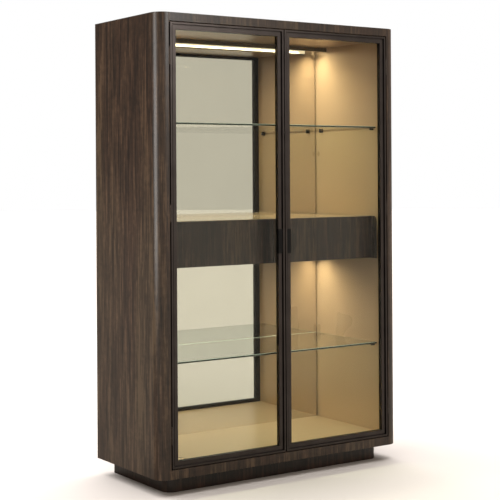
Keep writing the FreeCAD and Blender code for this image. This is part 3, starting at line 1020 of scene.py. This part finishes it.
class CABINET_OT_hinges(Operator):
    """Slim barrel hinges, their pins and the magnets at the top of the doors"""

    bl_idname = "cabinet.hinges"
    bl_label = "Hinges and catches"

    def execute(self, context):
        # Steel, bronzed to match the frames: dark metal with a soft gleam on its round barrels.
        ripple = (1 * MM, 0.02 * MM)
        bronze = mottled("bronzed_hinge_steel", "#3a332e", 0.12, 9 * MM, 0.32, 0.06, ripple, Metallic=1.0)
        bodies = {"case_hinge_leaves": "case", "door_left_hinge_leaves": "door_left"}
        bodies |= {"door_right_hinge_leaves": "door_right", "hinge_pins": "case"}
        for name, body in bodies.items():
            bm = bmesh.new()
            bm.from_mesh(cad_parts[name].data)
            bmesh.ops.remove_doubles(bm, verts=bm.verts, dist=NEAR / 10)
            piece(name + "_smooth", bm, body, [bronze], [name], smooth=40)
        # Magnet blocks in nickel-plated cups.
        nickel = mottled("nickel_plated_magnet", "#8e8a82", 0.08, 8 * MM, 0.25, 0.05, ripple, Metallic=1.0)
        paint_nodes(nickel, "door_magnets")
        return {"FINISHED"}


# ---------------------------------------------------------------- stage


FLOOR_RADIUS = 40.0
STUDIO_WHITE = (1.0, 0.98, 0.95)
BACKDROP_WHITE = (1.0, 1.0, 1.0, 1.0)
# Strength of the room in front of the cabinet and behind it.
ROOM_FRONT, ROOM_BEHIND = 0.92, 0.14
# Soft lights as (place, aim, size).
KEY_LIGHT = ((0.75, -4.3, 2.95), (0, 0, 1.2), (2.2, 1.6))
SIDE_LIGHT = ((-2.6, 0.0, 1.5), (-0.6, -0.2, 1.5), (1.1, 1.6))
OVERHEAD_WIDTH = math.radians(92)
OVERHEAD_TILT = (math.radians(-27), math.radians(4), 0)
STRIP_SPREAD, STRIP_LEAN = math.radians(146), math.radians(15)
SENSOR_WIDTH = 36.0
CAMERA_SHIFT = -0.1487
CAMERA_PLACE = (-3.1772, -4.6559, 1.2968)
CAMERA_YAW, CAMERA_PITCH, CAMERA_ROLL = (math.radians(angle) for angle in (34.32, -0.08, -0.34))


def area_light(name, place, target, size, power, tint, spread=math.pi, seen=True):
    """A rectangular soft light aimed at a point. Unless seen, it shows in no gloss and through no pane."""
    lamp = bpy.data.lights.new(name, "AREA")
    lamp.shape = "RECTANGLE"
    lamp.size, lamp.size_y = size
    lamp.energy = power
    lamp.color = tint
    lamp.spread = spread
    obj = bpy.data.objects.new(name, lamp)
    obj.location = place
    obj.rotation_euler = (Vector(target) - Vector(place)).to_track_quat("-Z", "Y").to_euler()
    obj.visible_camera = False
    obj.visible_glossy = seen
    obj.visible_transmission = seen
    bpy.context.scene.collection.objects.link(obj)
    return obj


@finish
def floor_paint(tree, place, stage):
    """Painted floor, matt and pale. It throws back less light on the cabinet than it shows, as a floor that
    is brightly lit only round the set does, and gloss and mirrors find it bright only in front."""
    ray = add_node(tree, "ShaderNodeLightPath")
    paint = add_node(tree, "ShaderNodeBsdfDiffuse", {"Color": rgba(stage.floor_bounce)})
    split = add_node(tree, "ShaderNodeSeparateXYZ", links={0: (place, "Object")})
    case_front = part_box("side_left")[0].y
    front = add_node(tree, "ShaderNodeMath", {"operation": "LESS_THAN", 1: case_front}, {0: (split, "Y")})
    mirrored = add_node(
        tree, "ShaderNodeMath", {"operation": "MULTIPLY"}, {0: (front, 0), 1: (ray, "Is Glossy Ray")}
    )
    cases = ((mirrored, 0, stage.floor_mirrored), (ray, "Is Camera Ray", stage.floor_colour))
    for node, socket, tint in cases:
        seen = add_node(tree, "ShaderNodeBsdfDiffuse", {"Color": rgba(tint)})
        links = {0: (node, socket), 1: (paint, 0), 2: (seen, 0)}
        paint = add_node(tree, "ShaderNodeMixShader", links=links)
    return paint


class CABINET_OT_stage(Operator):
    """Pale floor, soft studio lights, the strips' light and the camera"""

    bl_idname = "cabinet.stage"
    bl_label = "Stage"

    def execute(self, context):
        stage = context.scene.cabinet_stage
        context.scene.view_settings.view_transform = "Standard"
        # The panes let lamp light straight through, so it isn't counted again as a caustic.
        context.scene.cycles.caustics_refractive = False
        self.floor(stage)
        self.surround(stage)
        self.studio_lights(stage)
        self.strip_lights(context.scene.cabinet_interior)
        self.camera(context.scene, stage)
        return {"FINISHED"}

    def floor(self, stage):
        bm = bmesh.new()
        bmesh.ops.create_circle(bm, cap_ends=True, segments=96, radius=FLOOR_RADIUS)
        mesh = bpy.data.meshes.new("studio_floor")
        bm.to_mesh(mesh)
        bm.free()
        mesh.materials.append(floor_paint("pale_floor_paint", stage))
        floor = bpy.data.objects.new("studio_floor", mesh)
        bpy.context.scene.collection.objects.link(floor)

    def surround(self, stage):
        # The backdrop is white; the room that lights the cabinet is paler in front of it than behind.
        world = bpy.data.worlds.new("studio")
        bpy.context.scene.world = world
        world.use_nodes = True
        tree = world.node_tree
        tree.nodes.clear()
        place = add_node(tree, "ShaderNodeTexCoord")
        split = add_node(tree, "ShaderNodeSeparateXYZ", links={0: (place, "Generated")})
        strengths = levels(-1.0, 1.0, ROOM_FRONT, ROOM_BEHIND)
        level = add_node(tree, "ShaderNodeMapRange", strengths, {"Value": (split, "Y")})
        room = add_node(
            tree, "ShaderNodeBackground", {"Color": rgba(stage.surround)}, {"Strength": (level, 0)}
        )
        backdrop = add_node(tree, "ShaderNodeBackground", {"Color": BACKDROP_WHITE, "Strength": 1.0})
        ray = add_node(tree, "ShaderNodeLightPath")
        mix = add_node(
            tree, "ShaderNodeMixShader", links={0: (ray, "Is Camera Ray"), 1: (room, 0), 2: (backdrop, 0)}
        )
        add_node(tree, "ShaderNodeOutputWorld", links={"Surface": (mix, 0)})

    def studio_lights(self, stage):
        key = area_light("key_light", *KEY_LIGHT, stage.key_power, STUDIO_WHITE)
        side = area_light("side_light", *SIDE_LIGHT, stage.side_power, STUDIO_WHITE)
        # Skirts keep both off the floor.
        spared = bpy.data.collections.new("kept_off_the_floor")
        spared.objects.link(bpy.data.objects["studio_floor"])
        spared.collection_objects[0].light_linking.link_state = "EXCLUDE"
        for lamp in (key, side):
            lamp.light_linking.receiver_collection = spared
        dome = bpy.data.lights.new("overhead_light", "SUN")
        dome.energy = stage.top_strength
        dome.angle = OVERHEAD_WIDTH
        obj = bpy.data.objects.new("overhead_light", dome)
        obj.rotation_euler = OVERHEAD_TILT
        obj.visible_glossy = False
        bpy.context.scene.collection.objects.link(obj)

    def strip_lights(self, inside):
        # The diffusers glow by themselves. These carry most of their light into the cabinet, straight and by
        # way of the mirror behind them, so they reach from diffuser to mirror and lean forward a little.
        inset, gap, drop = 40 * MM, 2 * MM, 1 * MM
        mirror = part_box("mirror_upper")[0].y
        for name, source, power in (
            ("ceiling_strip", "cove_diffuser", inside.cove_power),
            ("unit_strip", "unit_diffuser", inside.unit_power),
        ):
            lo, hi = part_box(source)
            y, z = (lo.y + mirror) / 2, lo.z - drop
            size = (hi.x - lo.x - 2 * inset, mirror - lo.y - 2 * gap)
            target = (0, y - math.tan(STRIP_LEAN) * z, 0)
            area_light(name, (0, y, z), target, size, power, inside.lamp_colour, STRIP_SPREAD, False)

    def camera(self, scene, stage):
        lens = bpy.data.cameras.new("studio_camera")
        lens.lens = stage.lens
        lens.sensor_width = SENSOR_WIDTH
        lens.shift_y = CAMERA_SHIFT
        camera = bpy.data.objects.new("studio_camera", lens)
        forward = Vector((0, math.cos(CAMERA_PITCH), math.sin(CAMERA_PITCH)))
        forward.rotate(Matrix.Rotation(-CAMERA_YAW, 3, "Z"))
        facing = forward.to_track_quat("-Z", "Y").to_matrix().to_4x4()
        rolled = facing @ Matrix.Rotation(CAMERA_ROLL, 4, "Z")
        camera.matrix_world = Matrix.Translation(CAMERA_PLACE) @ rolled
        scene.collection.objects.link(camera)
        scene.camera = camera


# ---------------------------------------------------------------- add-on


OPERATORS = (
    CABINET_OT_case_panels,
    CABINET_OT_plinth,
    CABINET_OT_back_board,
    CABINET_OT_linings,
    CABINET_OT_shelves,
    CABINET_OT_light_strips,
    CABINET_OT_drawer_unit,
    CABINET_OT_drawers,
    CABINET_OT_door_frames,
    CABINET_OT_door_panes,
    CABINET_OT_door_pulls,
    CABINET_OT_hinges,
    CABINET_OT_stage,
)
SETTINGS = {
    "cabinet_case": CaseSettings,
    "cabinet_interior": InteriorSettings,
    "cabinet_doors": DoorSettings,
    "cabinet_stage": StageSettings,
}


class CABINET_PT_panel(Panel):
    """Sizes, colours and the steps that build the cabinet"""

    bl_idname = "CABINET_PT_panel"
    bl_label = "China cabinet"
    bl_space_type = "VIEW_3D"
    bl_region_type = "UI"
    bl_category = "Cabinet"

    def draw(self, context):
        column = self.layout.column()
        for name, group in SETTINGS.items():
            box = column.box()
            for key in group.__annotations__:
                box.prop(getattr(context.scene, name), key)
        for operator in OPERATORS:
            column.operator(operator.bl_idname)


def register():
    for group in SETTINGS.values():
        bpy.utils.register_class(group)
    for name, group in SETTINGS.items():
        setattr(bpy.types.Scene, name, PointerProperty(type=group))
    for operator in OPERATORS:
        bpy.utils.register_class(operator)
    bpy.utils.register_class(CABINET_PT_panel)


def unregister():
    bpy.utils.unregister_class(CABINET_PT_panel)
    for operator in reversed(OPERATORS):
        bpy.utils.unregister_class(operator)
    for name in SETTINGS:
        delattr(bpy.types.Scene, name)
    for group in SETTINGS.values():
        bpy.utils.unregister_class(group)


def main():
    register()
    for operator in OPERATORS:
        group, name = operator.bl_idname.split(".")
        getattr(getattr(bpy.ops, group), name)()


if __name__ == "__main__":
    main()
